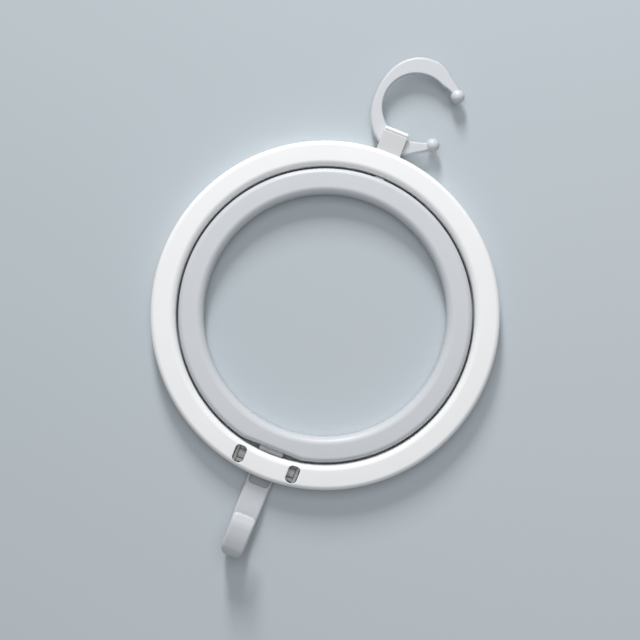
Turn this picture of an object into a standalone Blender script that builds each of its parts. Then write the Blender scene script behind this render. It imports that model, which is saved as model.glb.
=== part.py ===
"""Hook hanger: two nested rings, a strap hook below and a C-shaped rod hook above.

Everything is in metres, with +Z up. The front, which shows the two windows, faces -Y. The origin is
the seat of the rod, at the top of the C-hook's bore. Lengths are named below, and every place is
worked out from them. A depth is measured backwards from the rings' flat front face.
"""

import math

import bmesh
import bpy
from mathutils import Matrix, Vector

# Driving sizes of the outer ring, an open-backed channel
RING_RADIUS = 0.1
RING_BAND = 0.0146
RING_DEPTH = 0.012
PLATE = 0.002
WALL = 0.0018
RIM_WALL = 0.0015
OUTER_EDGE_ROUND = 0.0015
MOUTH_EDGE_ROUND = 0.0025
RIM_CHAMFER_WIDTH = 0.0005
RIM_CHAMFER_HEIGHT = 0.001
ROOT_ROUND = 0.0006

# Driving sizes of the inner ring, nested in it with a running gap
RING_GAP = 0.0013
INNER_BAND = 0.0144
SOFT_EDGE_ROUND = 0.004
CRISP_EDGE_ROUND = 0.0013
FLAT_CUT = 0.0019
NUB_WIDTH = 0.006
NUB_LENGTH = 0.004

# Ribs inside both channels
RIB_THICKNESS = 0.0012
RIB_SETBACK = 0.003

# Hinge pin and what turns on it
PIN_RADIUS = 0.0029
PIN_LENGTH = 0.0345
PIN_INSET = 0.0059
PIN_DEPTH = 0.0076
PIN_CHAMFER = 0.0005
KNUCKLE_WALL = 0.0012
LUG_WIDTH = 0.0144
LUG_THICKNESS = 0.0036
BARREL_WIDTH = 0.0062

# Cradles that hold the pin, and the windows in front of them
WEB_THICKNESS = 0.0016
WEB_SETBACK = 0.0015
SNAP_BITE = 0.0003
SHELF_DEPTH = 0.009
STOP_DEPTH = 0.006
WINDOW_PAST_PIN = 0.00235
WINDOW_WIDTH = 0.0066
WINDOW_HEIGHT = 0.0103
WINDOW_CORNER = 0.0026
WINDOW_DEPTH = 0.005

# Strap hook
STRAP_WIDTH = 0.0148
STRAP_THICKNESS = 0.0036
STRAP_SET_BACK = 0.0012
WAIST_WIDTH = 0.0116
TIP_WIDTH = 0.0138
TAPER_RISE = 0.026
CURL_RADIUS = 0.01
HOOK_REACH = 0.0472
TIP_RISE = 0.0262
TIP_CORNER = 0.0028
STRAP_EDGE_ROUND = 0.0012

# C-hook, which goes over a rod
BORE_RADIUS = 0.0195
BACK_BAND = 0.0053
SHOULDER_BAND = 0.0097
NECK_BAND = 0.0046
UPPER_FLARE = 0.0027
LOWER_FLARE = 0.0015
C_THICKNESS = 0.004
C_EDGE_ROUND = 0.0013
BALL_RADIUS = 0.004
BACK_ANGLE = math.radians(176)
BALL_ANGLE = math.radians(139)
SHOULDER_ANGLE = math.radians(75)
TAPER_START = math.radians(85)
FLARE_START = math.radians(110)
LEAN = math.radians(15)
TURN_GAP = 0.0013

# Clip on top of the outer ring, which holds the C-hook
TAB_WIDTH = 0.0144
TAB_SHIFT = 0.0008
TAB_THICKNESS = 0.0028
TAB_SETBACK = 0.0004
TAB_SLOPE = 0.0012
BEAD_RADIUS = 0.0013
BEAD_INSET = 0.00015
BEAD_END_ROUND = 0.0005
POST_RADIUS = 0.0012
CATCH_WIDTH = 0.0064
CATCH_THICKNESS = 0.0018
CATCH_REACH = 0.0046
CATCH_ROUND = 0.0005

# Gap between neighbouring pieces, overlap of joined shapes, and how far a cut runs past a face
CLEARANCE = 0.0003
OVERLAP = 0.0006
OVERRUN = 0.002
MERGE = 0.00001

# Counts, angles past which an edge is rounded or stays sharp, and the bevels' circular share
RING_STEPS = 72
RIB_PITCHES = 18
OUTER_EDGE_STEPS = 3
MOUTH_EDGE_STEPS = 4
SOFT_EDGE_STEPS = 5
CRISP_EDGE_STEPS = 2
CORNER_STEPS = 4
BEVEL_STEPS = 2
ROUND_SIDES = 24
BALL_SEGMENTS = 16
BALL_RINGS = 10
C_STEPS = 42
CURL_STEPS = 14
TAPER_STEPS = 4
RIGHT_ANGLE = math.radians(90)
HALF_TURN = math.radians(180)
BEVEL_ANGLE = math.radians(50)
SHARP_ANGLE = math.radians(38)
ROUND_SHARE = 0.5

WHITE = (0.84, 0.84, 0.85)
BLUE_GREY = (0.57, 0.61, 0.66)
PLASTIC_ROUGHNESS = 0.42

# Sizes that follow from the driving ones
tab_back = TAB_SETBACK + TAB_THICKNESS
front_y = -(C_THICKNESS / 2 + CLEARANCE + tab_back)
post_reach = BORE_RADIUS - CLEARANCE - POST_RADIUS
post_rise = RING_RADIUS + TURN_GAP + SHOULDER_BAND + CLEARANCE + POST_RADIUS
c_centre = Vector((0, 0, -BORE_RADIUS))
post_centre = c_centre - post_reach * Vector((math.sin(LEAN), 0, math.cos(LEAN)))
ring_centre = Vector((post_centre.x, front_y, post_centre.z - post_rise))

mouth_radius = RING_RADIUS - RING_BAND
inner_radius = mouth_radius - RING_GAP
hole_radius = inner_radius - INNER_BAND
flat_drop = inner_radius - FLAT_CUT
pin_drop = mouth_radius + PIN_INSET
hook_drop = RING_RADIUS + HOOK_REACH
window_place = PIN_LENGTH / 2 + WINDOW_PAST_PIN - WINDOW_WIDTH / 2
outer_web_place = window_place - WINDOW_WIDTH / 2 - CLEARANCE - WEB_THICKNESS
pin_bore = PIN_RADIUS + CLEARANCE
knuckle_radius = pin_bore + KNUCKLE_WALL
bay_half = LUG_WIDTH / 2 + 2 * CLEARANCE
knuckle_inner = BARREL_WIDTH / 2 + CLEARANCE
rib_depth = RING_DEPTH - RIB_SETBACK
web_depth = RING_DEPTH - WEB_SETBACK
lug_depth = PIN_DEPTH - knuckle_radius
strap_depth = PIN_DEPTH + STRAP_SET_BACK
strap_front = strap_depth - STRAP_THICKNESS / 2
strap_top = -pin_drop - knuckle_radius - CLEARANCE
tab_top = post_rise + POST_RADIUS


def at(across, depth, up):
    """A place given from the ring's centre: across to the right, back from the front face, and up."""
    return ring_centre + Vector((across, depth, up))


def clear_scene():
    """Remove the objects of the file that the script is run in."""
    for old in list(bpy.data.objects):
        bpy.data.objects.remove(old, do_unlink=True)


def new_collection(name):
    """Make a collection in the scene."""
    collection = bpy.data.collections.new(name)
    bpy.context.scene.collection.children.link(collection)
    return collection


def plastic(name, colour):
    """A moulded plastic material."""
    material = bpy.data.materials.new(name)
    material.use_nodes = True
    shader = material.node_tree.nodes["Principled BSDF"]
    shader.inputs["Base Color"].default_value = (*colour, 1)
    shader.inputs["Roughness"].default_value = PLASTIC_ROUGHNESS
    shader.inputs["Metallic"].default_value = 0
    return material


def new_object(name, collection, bm, place=None):
    """Turn a bmesh into an object of a collection."""
    mesh = bpy.data.meshes.new(name)
    bm.to_mesh(mesh)
    bm.free()
    made = bpy.data.objects.new(name, mesh)
    if place is not None:
        made.location = place
    collection.objects.link(made)
    return made


def new_cutter(name, bm):
    """A hidden shape that is joined to a piece or cut from it."""
    cutter = new_object(name, cutters, bm)
    cutter.hide_render = True
    cutter.display_type = "WIRE"
    return cutter


def arc(centre, radius, start, end, steps):
    """Points along an arc in a plane, both ends included. Angles are in radians."""
    turn = (end - start) / steps
    angles = [start + turn * step for step in range(steps + 1)]
    return [(centre[0] + radius * math.cos(a), centre[1] + radius * math.sin(a)) for a in angles]


def swell(share):
    """A smooth rise from 0 to 1 as a share goes from 0 to 1."""
    share = min(max(share, 0), 1)
    return share * share * (3 - 2 * share)


def add_block(bm, low, high):
    """Add a box to a bmesh by two opposite corners, and return its vertices."""
    made = bmesh.ops.create_cube(bm, size=1)["verts"]
    middle = (low + high) / 2
    scale = Matrix.Diagonal([abs(side) for side in high - low]).to_4x4()
    bmesh.ops.transform(bm, matrix=Matrix.Translation(middle) @ scale, verts=made)
    return made


def round_edges(bm, edges, rounding, steps=BEVEL_STEPS):
    """Round edges of a bmesh."""
    bmesh.ops.bevel(
        bm, geom=edges, offset=rounding, segments=steps, profile=ROUND_SHARE, affect="EDGES"
    )


def block(name, low, high, rounding=0):
    """A box cutter, with all its edges rounded if a rounding is given."""
    bm = bmesh.new()
    add_block(bm, low, high)
    if rounding:
        round_edges(bm, bm.edges[:], rounding)
    return new_cutter(name, bm)


def add_rod(bm, start, end, radius):
    """Add a closed cylinder between two points to a bmesh."""
    along = end - start
    made = bmesh.ops.create_cone(
        bm, cap_ends=True, segments=ROUND_SIDES, radius1=radius, radius2=radius, depth=along.length
    )["verts"]
    turn = Vector((0, 0, 1)).rotation_difference(along.normalized()).to_matrix().to_4x4()
    bmesh.ops.transform(bm, matrix=Matrix.Translation((start + end) / 2) @ turn, verts=made)


def end_edges(bm):
    """The edges round the two ends of a cylinder."""
    return [edge for edge in bm.edges if any(len(face.verts) == ROUND_SIDES for face in edge.link_faces)]


def rod(name, start, end, radius, rounding=0):
    """A cylinder cutter, with its two end edges rounded if a rounding is given."""
    bm = bmesh.new()
    add_rod(bm, start, end, radius)
    if rounding:
        round_edges(bm, end_edges(bm), rounding)
    return new_cutter(name, bm)


def boolean(piece, cutter, operation):
    """Join a cutter to a piece, or cut it out of it."""
    modifier = piece.modifiers.new(cutter.name, "BOOLEAN")
    modifier.object = cutter
    modifier.operation = operation
    modifier.solver = "EXACT"


def join(piece, *shapes):
    """Unite shapes with a piece, in order."""
    for shape in shapes:
        boolean(piece, shape, "UNION")


def cut(piece, *shapes):
    """Cut shapes out of a piece, in order."""
    for shape in shapes:
        boolean(piece, shape, "DIFFERENCE")


def turned_ring(name, profile):
    """A ring about the rings' axis, turned from a closed profile of radius and depth points."""
    bm = bmesh.new()
    points = [bm.verts.new((radius, 0, -depth)) for radius, depth in profile]
    for here, following in zip(points, points[1:] + points[:1]):
        bm.edges.new((here, following))
    ring = new_object(name, model, bm, ring_centre)
    ring.rotation_euler.x = math.radians(90)
    screw = ring.modifiers.new("turn", "SCREW")
    screw.steps = RING_STEPS
    screw.render_steps = RING_STEPS
    screw.use_merge_vertices = True
    screw.merge_threshold = MERGE
    return ring


def channel_profile(inside, outside):
    """Section of an open-backed channel, with two walls that thin towards their rims.

    Each side is given as its radius, its front edge's rounding and the steps of that rounding.
    """
    inner, inner_round, inner_steps = inside
    outer, outer_round, outer_steps = outside
    three_quarters = HALF_TURN + RIGHT_ANGLE
    outer_edge = arc((outer - outer_round, outer_round), outer_round, -RIGHT_ANGLE, 0, outer_steps)
    inner_edge = arc(
        (inner + inner_round, inner_round), inner_round, HALF_TURN, three_quarters, inner_steps
    )
    inside_round = max(inner_round - WALL, ROOT_ROUND)
    root_centre = (inner + WALL + inside_round, PLATE + inside_round)
    root = arc(root_centre, inside_round, three_quarters, HALF_TURN, inner_steps)
    rims = [
        (outer, RING_DEPTH),
        (outer - RIM_WALL, RING_DEPTH),
        (outer - WALL, PLATE),
    ]
    inner_rim = [
        (inner + RIM_WALL, RING_DEPTH),
        (inner + RIM_CHAMFER_WIDTH, RING_DEPTH),
        (inner, RING_DEPTH - RIM_CHAMFER_HEIGHT),
    ]
    return outer_edge + rims + root + inner_rim + inner_edge


def rib_star(name, inner, outer, skipped):
    """Radial ribs across a channel, as one cutter. Skipped ones are counted from straight down."""
    bm = bmesh.new()
    pitch = math.tau / RIB_PITCHES
    for count in range(RIB_PITCHES):
        if count in skipped:
            continue
        low = Vector((-RIB_THICKNESS / 2, PLATE - OVERLAP, -outer + WALL - OVERLAP))
        high = Vector((RIB_THICKNESS / 2, rib_depth, -inner - WALL + OVERLAP))
        made = add_block(bm, low, high)
        turn = Matrix.Rotation(pitch * count, 4, "Y")
        bmesh.ops.transform(bm, matrix=Matrix.Translation(ring_centre) @ turn, verts=made)
    return new_cutter(name, bm)


def wall_middle(across, inner_wall):
    """How far below the centre the middle of a wall of the outer ring lies, at a place across."""
    radius = mouth_radius + WALL / 2 if inner_wall else RING_RADIUS - WALL / 2
    return -math.sqrt(radius ** 2 - across ** 2)


def web(name, side, start, depth):
    """A web across the channel beside the hinge bay, from a depth back to the webs' edge."""
    across = side * (start + WEB_THICKNESS / 2)
    low = at(across - WEB_THICKNESS / 2, depth, wall_middle(across, False))
    high = at(across + WEB_THICKNESS / 2, web_depth, wall_middle(across, True))
    return block(name, low, high)


def shelf(name, side, direction):
    """One of the two walls that the pin's end lies between, above it or below it."""
    start, end = sorted((side * (bay_half + OVERLAP), side * PIN_LENGTH / 2))
    near, far = sorted((direction * PIN_RADIUS, direction * (WINDOW_HEIGHT / 2 - CLEARANCE)))
    low = at(start, PLATE - OVERLAP, near - pin_drop)
    high = at(end, SHELF_DEPTH, far - pin_drop)
    return block(name, low, high)


def window(name, side):
    """A window through the front plate, with rounded corners."""
    half_width = WINDOW_WIDTH / 2 - WINDOW_CORNER
    half_height = WINDOW_HEIGHT / 2 - WINDOW_CORNER
    outline = []
    for quarter, (right, up) in enumerate(((1, 1), (-1, 1), (-1, -1), (1, -1))):
        start = RIGHT_ANGLE * quarter
        corner = (right * half_width, up * half_height)
        outline += arc(corner, WINDOW_CORNER, start, start + RIGHT_ANGLE, CORNER_STEPS)
    bm = bmesh.new()
    flat = [bm.verts.new(at(side * window_place + x, -OVERRUN, z - pin_drop)) for x, z in outline]
    face = bm.faces.new(flat)
    pushed = bmesh.ops.extrude_face_region(bm, geom=[face])["geom"]
    moved = [item for item in pushed if isinstance(item, bmesh.types.BMVert)]
    bmesh.ops.translate(bm, vec=Vector((0, OVERRUN + WINDOW_DEPTH, 0)), verts=moved)
    bmesh.ops.recalc_face_normals(bm, faces=bm.faces[:])
    return new_cutter(name, bm)


def make_outer_ring():
    """The white ring: channel, ribs, hinge bay with its cradles and windows, and the clip on top."""
    ring = turned_ring(
        "outer_ring",
        channel_profile(
            (mouth_radius, MOUTH_EDGE_ROUND, MOUTH_EDGE_STEPS), (RING_RADIUS, OUTER_EDGE_ROUND, OUTER_EDGE_STEPS)
        ),
    )
    join(ring, rib_star("outer ribs", mouth_radius, RING_RADIUS, (0,)))
    for side, word in ((-1, "left"), (1, "right")):
        join(
            ring,
            web(f"{word} cheek", side, bay_half, PLATE - OVERLAP),
            web(f"{word} outer web", side, outer_web_place, PLATE - OVERLAP),
            web(f"{word} end stop", side, PIN_LENGTH / 2 + CLEARANCE, STOP_DEPTH),
            shelf(f"{word} upper shelf", side, 1),
            shelf(f"{word} lower shelf", side, -1),
        )
        cut(ring, window(f"{word} window", side))

    pin_end = PIN_LENGTH / 2 + CLEARANCE / 2
    throat = PIN_RADIUS - SNAP_BITE
    behind = RING_DEPTH + OVERRUN
    cut(
        ring,
        rod("pin seat", at(-pin_end, PIN_DEPTH, -pin_drop), at(pin_end, PIN_DEPTH, -pin_drop), pin_bore),
        block(
            "pin throat",
            at(-pin_end, PIN_DEPTH, -pin_drop - throat),
            at(pin_end, behind, -pin_drop + throat),
        ),
        block(
            "lug notch",
            at(-bay_half, lug_depth - CLEARANCE, -pin_drop),
            at(bay_half, behind, -mouth_radius + OVERRUN),
        ),
        block(
            "strap notch",
            at(-bay_half, strap_front - CLEARANCE, -RING_RADIUS - OVERRUN),
            at(bay_half, behind, -pin_drop),
        ),
    )
    add_clip(ring)
    return ring


def add_clip(ring):
    """The clip: a tab that slopes back from its lip, a post through the C-hook and a catch behind."""
    left = -TAB_WIDTH / 2 - TAB_SHIFT
    right = TAB_WIDTH / 2 - TAB_SHIFT
    bead_up = tab_top - BEAD_RADIUS
    root_up = RING_RADIUS - WALL + OVERLAP
    catch_front = tab_back + C_THICKNESS + 2 * CLEARANCE
    tab = block("clip tab", at(left, TAB_SETBACK, root_up), at(right, tab_back, bead_up))
    for vert in tab.data.vertices:
        if vert.co.z < ring_centre.z + bead_up - MERGE and vert.co.y < front_y + tab_back - MERGE:
            vert.co.y += TAB_SLOPE
    bead = rod(
        "clip bead",
        at(left + BEAD_INSET, BEAD_RADIUS, bead_up),
        at(right - BEAD_INSET, BEAD_RADIUS, bead_up),
        BEAD_RADIUS,
        BEAD_END_ROUND,
    )
    post = rod(
        "clip post",
        at(0, tab_back - OVERLAP, post_rise),
        at(0, catch_front + OVERLAP, post_rise),
        POST_RADIUS,
    )
    catch = block(
        "clip catch",
        at(-CATCH_WIDTH / 2, catch_front, tab_top - POST_RADIUS - CATCH_REACH),
        at(CATCH_WIDTH / 2, catch_front + CATCH_THICKNESS, tab_top),
        CATCH_ROUND,
    )
    join(ring, tab, bead, post, catch)


def make_inner_ring():
    """The grey ring: channel with a flat at the bottom, ribs, lug with two knuckles, and snap nub."""
    ring = turned_ring(
        "inner_ring",
        channel_profile(
            (hole_radius, SOFT_EDGE_ROUND, SOFT_EDGE_STEPS), (inner_radius, CRISP_EDGE_ROUND, CRISP_EDGE_STEPS)
        ),
    )
    chord_half = math.sqrt(inner_radius ** 2 - flat_drop ** 2)
    chord_wall = block(
        "flat wall",
        at(-chord_half, PLATE - OVERLAP, -flat_drop - OVERLAP),
        at(chord_half, RING_DEPTH, -flat_drop + WALL),
    )
    flat = block(
        "flat cut",
        at(-inner_radius, -OVERRUN, -inner_radius - OVERRUN),
        at(inner_radius, RING_DEPTH + OVERRUN, -flat_drop),
    )
    join(ring, rib_star("inner ribs", hole_radius, inner_radius, (0,)), chord_wall)
    cut(ring, flat)

    half = LUG_WIDTH / 2
    lug = block(
        "lug",
        at(-half, lug_depth, -pin_drop),
        at(half, lug_depth + LUG_THICKNESS, -flat_drop + OVERLAP),
    )
    left_end = at(-half, PIN_DEPTH, -pin_drop)
    right_end = at(half, PIN_DEPTH, -pin_drop)
    knuckles = rod("knuckles", left_end, right_end, knuckle_radius)
    join(ring, lug, knuckles)
    for side, word in ((-1, "left"), (1, "right")):
        middle = side * (knuckle_inner + half) / 2
        strut = block(
            f"{word} lug rib",
            at(middle - RIB_THICKNESS / 2, PLATE - OVERLAP, -flat_drop + OVERLAP),
            at(middle + RIB_THICKNESS / 2, rib_depth, -hole_radius - WALL + OVERLAP),
        )
        join(ring, strut)
    cut(
        ring,
        rod(
            "barrel room",
            at(-knuckle_inner, PIN_DEPTH, -pin_drop),
            at(knuckle_inner, PIN_DEPTH, -pin_drop),
            knuckle_radius + CLEARANCE,
        ),
        rod(
            "inner ring bore",
            at(-half - OVERRUN, PIN_DEPTH, -pin_drop),
            at(half + OVERRUN, PIN_DEPTH, -pin_drop),
            pin_bore,
        ),
    )
    nub_depth = (RING_DEPTH - NUB_LENGTH) / 2
    nub = block(
        "snap nub",
        at(-NUB_WIDTH / 2, nub_depth, inner_radius - WALL / 2),
        at(NUB_WIDTH / 2, nub_depth + NUB_LENGTH, inner_radius + RING_GAP - CLEARANCE),
        (RING_GAP - CLEARANCE) / 2,
    )
    join(ring, nub)
    return ring


def make_hinge_pin():
    """The pin that both the inner ring and the strap hook turn on."""
    bm = bmesh.new()
    half = PIN_LENGTH / 2
    add_rod(bm, Vector((-half, 0, 0)), Vector((half, 0, 0)), PIN_RADIUS)
    round_edges(bm, end_edges(bm), PIN_CHAMFER, steps=1)
    return new_object("hinge_pin", model, bm, at(0, PIN_DEPTH, -pin_drop))


def thicken(piece, thickness, rounding):
    """Give a sheet its thickness, half to each side, and round its edges."""
    solidify = piece.modifiers.new("thickness", "SOLIDIFY")
    solidify.thickness = thickness
    solidify.offset = 0
    solidify.use_even_offset = True
    bevel = piece.modifiers.new("soft edges", "BEVEL")
    bevel.width = rounding
    bevel.segments = BEVEL_STEPS
    bevel.limit_method = "ANGLE"
    bevel.angle_limit = BEVEL_ANGLE


def strap_half_width(depth, up):
    """Half the strap's width at a place on its run: drawn in at the bottom of the curl."""
    fullness = swell((up + hook_drop - STRAP_THICKNESS / 2) / TAPER_RISE)
    full = STRAP_WIDTH if depth > strap_depth - CURL_RADIUS else TIP_WIDTH
    return (WAIST_WIDTH + (full - WAIST_WIDTH) * fullness) / 2


def strap_run():
    """Middle line of the strap as depth and height points: down, round the curl and up the tip."""
    curl_up = -hook_drop + STRAP_THICKNESS / 2 + CURL_RADIUS
    taper_top = curl_up - CURL_RADIUS + TAPER_RISE
    tip_up = -hook_drop + TIP_RISE
    tip_depth = strap_depth - 2 * CURL_RADIUS
    run = [(strap_depth, strap_top)]
    run += [
        (strap_depth, taper_top + (curl_up - taper_top) * step / TAPER_STEPS) for step in range(TAPER_STEPS)
    ]
    run += arc((strap_depth - CURL_RADIUS, curl_up), CURL_RADIUS, 0, -HALF_TURN, CURL_STEPS)
    run += [
        (tip_depth, curl_up + (tip_up - curl_up) * (step + 1) / TAPER_STEPS) for step in range(TAPER_STEPS)
    ]
    return run


def make_j_hook():
    """The strap hook: a strip with a waist, given its thickness, on a barrel that fits the pin."""
    bm = bmesh.new()
    run = strap_run()
    line = [bm.verts.new(at(-strap_half_width(depth, up), depth, up)) for depth, up in run]
    for here, following in zip(line, line[1:]):
        bm.edges.new((here, following))
    swept = bmesh.ops.extrude_edge_only(bm, edges=bm.edges[:])["geom"]
    for item in swept:
        if isinstance(item, bmesh.types.BMVert):
            item.co.x = 2 * ring_centre.x - item.co.x
    tip_up = max(vert.co.z for vert in bm.verts if vert.co.y < ring_centre.y)
    corners = [vert for vert in bm.verts if vert.co.y < ring_centre.y and vert.co.z > tip_up - MERGE]
    bmesh.ops.bevel(
        bm, geom=corners, offset=TIP_CORNER, segments=CORNER_STEPS, profile=ROUND_SHARE, affect="VERTICES"
    )
    hook = new_object("j_hook", model, bm)
    thicken(hook, STRAP_THICKNESS, STRAP_EDGE_ROUND)

    half = BARREL_WIDTH / 2
    barrel = rod("barrel", at(-half, PIN_DEPTH, -pin_drop), at(half, PIN_DEPTH, -pin_drop), knuckle_radius)
    neck_half = half - CLEARANCE
    neck = block(
        "neck",
        at(-neck_half, strap_front + CLEARANCE, strap_top - STRAP_EDGE_ROUND - OVERLAP),
        at(neck_half, strap_front + STRAP_THICKNESS - CLEARANCE, -pin_drop),
    )
    bore = rod(
        "barrel bore",
        at(-half - OVERRUN, PIN_DEPTH, -pin_drop),
        at(half + OVERRUN, PIN_DEPTH, -pin_drop),
        pin_bore,
    )
    join(hook, neck, barrel)
    cut(hook, bore)
    return hook


def c_radii(turn):
    """Radii of the C-hook's inside and outside, at an angle from its back, less than none at the top."""
    away = abs(turn)
    flare = UPPER_FLARE if turn < 0 else LOWER_FLARE
    band = BACK_BAND + (SHOULDER_BAND - BACK_BAND) * swell(away / SHOULDER_ANGLE)
    band += (NECK_BAND - band) * swell((away - TAPER_START) / (BALL_ANGLE - TAPER_START))
    inside = BORE_RADIUS + flare * swell((away - FLARE_START) / (BALL_ANGLE - FLARE_START))
    return inside, inside + band


def c_place(turn, radius):
    """A place on the C-hook's middle plane, by its angle from the back and its radius."""
    angle = BACK_ANGLE + turn
    return c_centre + radius * Vector((math.cos(angle), 0, math.sin(angle)))


def make_c_hook():
    """The C-hook: a flat band, widest at its shoulders, that narrows to a ball at each end."""
    bm = bmesh.new()
    pairs = []
    for step in range(C_STEPS + 1):
        turn = BALL_ANGLE * (2 * step / C_STEPS - 1)
        pairs.append([bm.verts.new(c_place(turn, radius)) for radius in c_radii(turn)])
    for here, following in zip(pairs, pairs[1:]):
        bm.faces.new((here[0], following[0], following[1], here[1]))
    hook = new_object("c_hook", model, bm)
    thicken(hook, C_THICKNESS, C_EDGE_ROUND)
    for word, turn in (("upper", -BALL_ANGLE), ("lower", BALL_ANGLE)):
        bm = bmesh.new()
        bmesh.ops.create_uvsphere(
            bm,
            u_segments=BALL_SEGMENTS,
            v_segments=BALL_RINGS,
            radius=BALL_RADIUS,
            matrix=Matrix.Translation(c_place(turn, sum(c_radii(turn)) / 2)),
        )
        join(hook, new_cutter(f"{word} ball", bm))
    return hook


def settle(piece, material):
    """Apply the piece's modifiers, give it its material, and shade it smooth where it is round."""
    bpy.context.view_layer.update()
    evaluated = piece.evaluated_get(bpy.context.evaluated_depsgraph_get())
    mesh = bpy.data.meshes.new_from_object(evaluated)
    bm = bmesh.new()
    bm.from_mesh(mesh)
    bmesh.ops.remove_doubles(bm, verts=bm.verts[:], dist=MERGE)
    bm.to_mesh(mesh)
    bm.free()
    piece.modifiers.clear()
    piece.data = mesh
    mesh.name = piece.name
    mesh.materials.clear()
    mesh.materials.append(material)
    mesh.shade_smooth()
    mesh.set_sharp_from_angle(angle=SHARP_ANGLE)


def hang(piece, axis_name, place):
    """Give a moving piece an empty on its joint's axis as its parent."""
    axis = bpy.data.objects.new(axis_name, None)
    axis.location = place
    axis.empty_display_size = PIN_LENGTH
    model.objects.link(axis)
    piece.parent = axis
    piece.matrix_parent_inverse = Matrix.Translation(place).inverted()


clear_scene()
model = new_collection("hook hanger")
cutters = new_collection("cutters")
white = plastic("white plastic", WHITE)
grey = plastic("blue-grey plastic", BLUE_GREY)

pin_place = at(0, PIN_DEPTH, -pin_drop)
settle(make_outer_ring(), white)
settle(make_hinge_pin(), white)
inner_ring = make_inner_ring()
settle(inner_ring, grey)
hang(inner_ring, "inner ring axis", pin_place)
j_hook = make_j_hook()
settle(j_hook, grey)
hang(j_hook, "strap hook axis", pin_place)
c_hook = make_c_hook()
settle(c_hook, grey)
hang(c_hook, "C-hook axis", c_centre)

for cutter in list(cutters.objects):
    cutter.hide_set(True)
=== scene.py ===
# %% [markdown]
# # A folding ring hanger, dressed for its picture
#
# The hanger is moulded plastic: a white ring with a blue-grey ring nested in it, a strap hook that
# hangs from the hinge pin at the bottom, and a C-shaped hook in a clip at the top. Each cell below
# makes one thing, and the words before it say what that thing is on the real object, how it could be
# made, and why this way was chosen. Lengths are in metres, +Z is up and the front faces -Y.

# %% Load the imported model
import json
import math

import bmesh
import bpy
from mathutils import Matrix, Vector


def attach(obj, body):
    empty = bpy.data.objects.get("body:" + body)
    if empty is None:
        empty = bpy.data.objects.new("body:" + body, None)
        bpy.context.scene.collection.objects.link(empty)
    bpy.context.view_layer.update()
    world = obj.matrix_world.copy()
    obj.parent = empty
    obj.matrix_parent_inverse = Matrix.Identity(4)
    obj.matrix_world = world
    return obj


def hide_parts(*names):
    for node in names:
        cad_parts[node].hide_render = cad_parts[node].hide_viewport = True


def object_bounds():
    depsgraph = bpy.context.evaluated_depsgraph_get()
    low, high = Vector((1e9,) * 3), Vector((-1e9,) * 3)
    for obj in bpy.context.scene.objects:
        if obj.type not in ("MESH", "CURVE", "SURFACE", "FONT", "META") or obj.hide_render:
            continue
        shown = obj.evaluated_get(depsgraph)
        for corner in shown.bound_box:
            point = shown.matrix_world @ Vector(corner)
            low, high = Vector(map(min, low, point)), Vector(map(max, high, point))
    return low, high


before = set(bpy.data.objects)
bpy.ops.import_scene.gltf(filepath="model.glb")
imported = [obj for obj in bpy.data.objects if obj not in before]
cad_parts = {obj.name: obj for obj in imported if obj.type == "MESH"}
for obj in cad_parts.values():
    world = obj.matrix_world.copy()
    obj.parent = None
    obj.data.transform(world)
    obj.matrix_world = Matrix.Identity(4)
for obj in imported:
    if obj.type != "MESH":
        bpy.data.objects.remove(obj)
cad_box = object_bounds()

bpy.ops.object.select_all(action="DESELECT")
bpy.context.scene.view_settings.view_transform = "Standard"
print("nodes:", ", ".join(sorted(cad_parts)))

# %% [markdown]
# ## Sizes
#
# A dressed piece has to sit exactly where its plain solid sits, so the main sizes are written here
# once, as they are in the part. Everything on the rings is placed from the centre of their front
# face: how far across, how far back from the front, and how far up. The gap is the play between
# parts that move. What is united with a piece is sunk into it by the overlap, and a cutter goes past
# what it cuts by the overrun, because a Boolean fails where two faces lie on each other.

# %% Sizes of the real object
ring_centre = Vector((-0.0046587, -0.0055, -0.1493867))
ring_depth, plate, wall, rim_wall = 0.012, 0.002, 0.0018, 0.0015
ring_radius, mouth_radius, inner_radius, hole_radius = 0.1, 0.0854, 0.0841, 0.0697
flat_drop, pin_drop, pin_depth = 0.0822, 0.0913, 0.0076
pin_radius, pin_length, pin_bore, knuckle_radius = 0.0029, 0.0345, 0.0032, 0.0044
gap, overlap, overrun = 0.0003, 0.0006, 0.002
rib_thick, rib_back = 0.0012, 0.009
right_angle = math.radians(90)


def at(across, depth, up):
    """A place given from the centre of the rings' front face."""
    return ring_centre + Vector((across, depth, up))


print("rings' centre", tuple(round(1000 * number, 2) for number in ring_centre), "mm")

# %% [markdown]
# ## Camera and stage
#
# The photograph looks straight down on the hanger, which lies turned by 21.7 degrees on a pale
# surface. Turning the camera instead of the object keeps the object upright in its own frame. The
# surface becomes an upright board just behind the ring. A plain board would black out the back of
# the hanger, so its material lets everything through that comes from behind it.

# %% Camera
tilt = math.radians(21.7)
picture_right = Vector((math.cos(tilt), 0, math.sin(tilt)))
picture_up = Vector((-math.sin(tilt), 0, math.cos(tilt)))
camera_data = bpy.data.cameras.new("camera")
camera_data.lens = 88.79
camera_distance = 0.9
camera = bpy.data.objects.new("camera", camera_data)
bpy.context.collection.objects.link(camera)
pose = Matrix((picture_right, picture_up, Vector((0, -1, 0)))).transposed().to_4x4()
picture_middle = ring_centre - 0.00295 * picture_right - 0.00263 * picture_up
pose.translation = picture_middle + Vector((0, -camera_distance, 0))
camera.matrix_world = pose
bpy.context.scene.camera = camera
print("camera at", tuple(round(number, 3) for number in camera.location))

# %% [markdown]
# ## Shader sheets
#
# A material is a sheet of nodes. Wiring them by hand in code is long and hard to read, so two small
# classes do it. A Wire stands for one output and adds Math nodes when it is used in a sum. A Sheet
# adds any other node in one call that takes its type, its settings and what goes into its sockets,
# and it can say how far inside a box a place lies.

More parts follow.
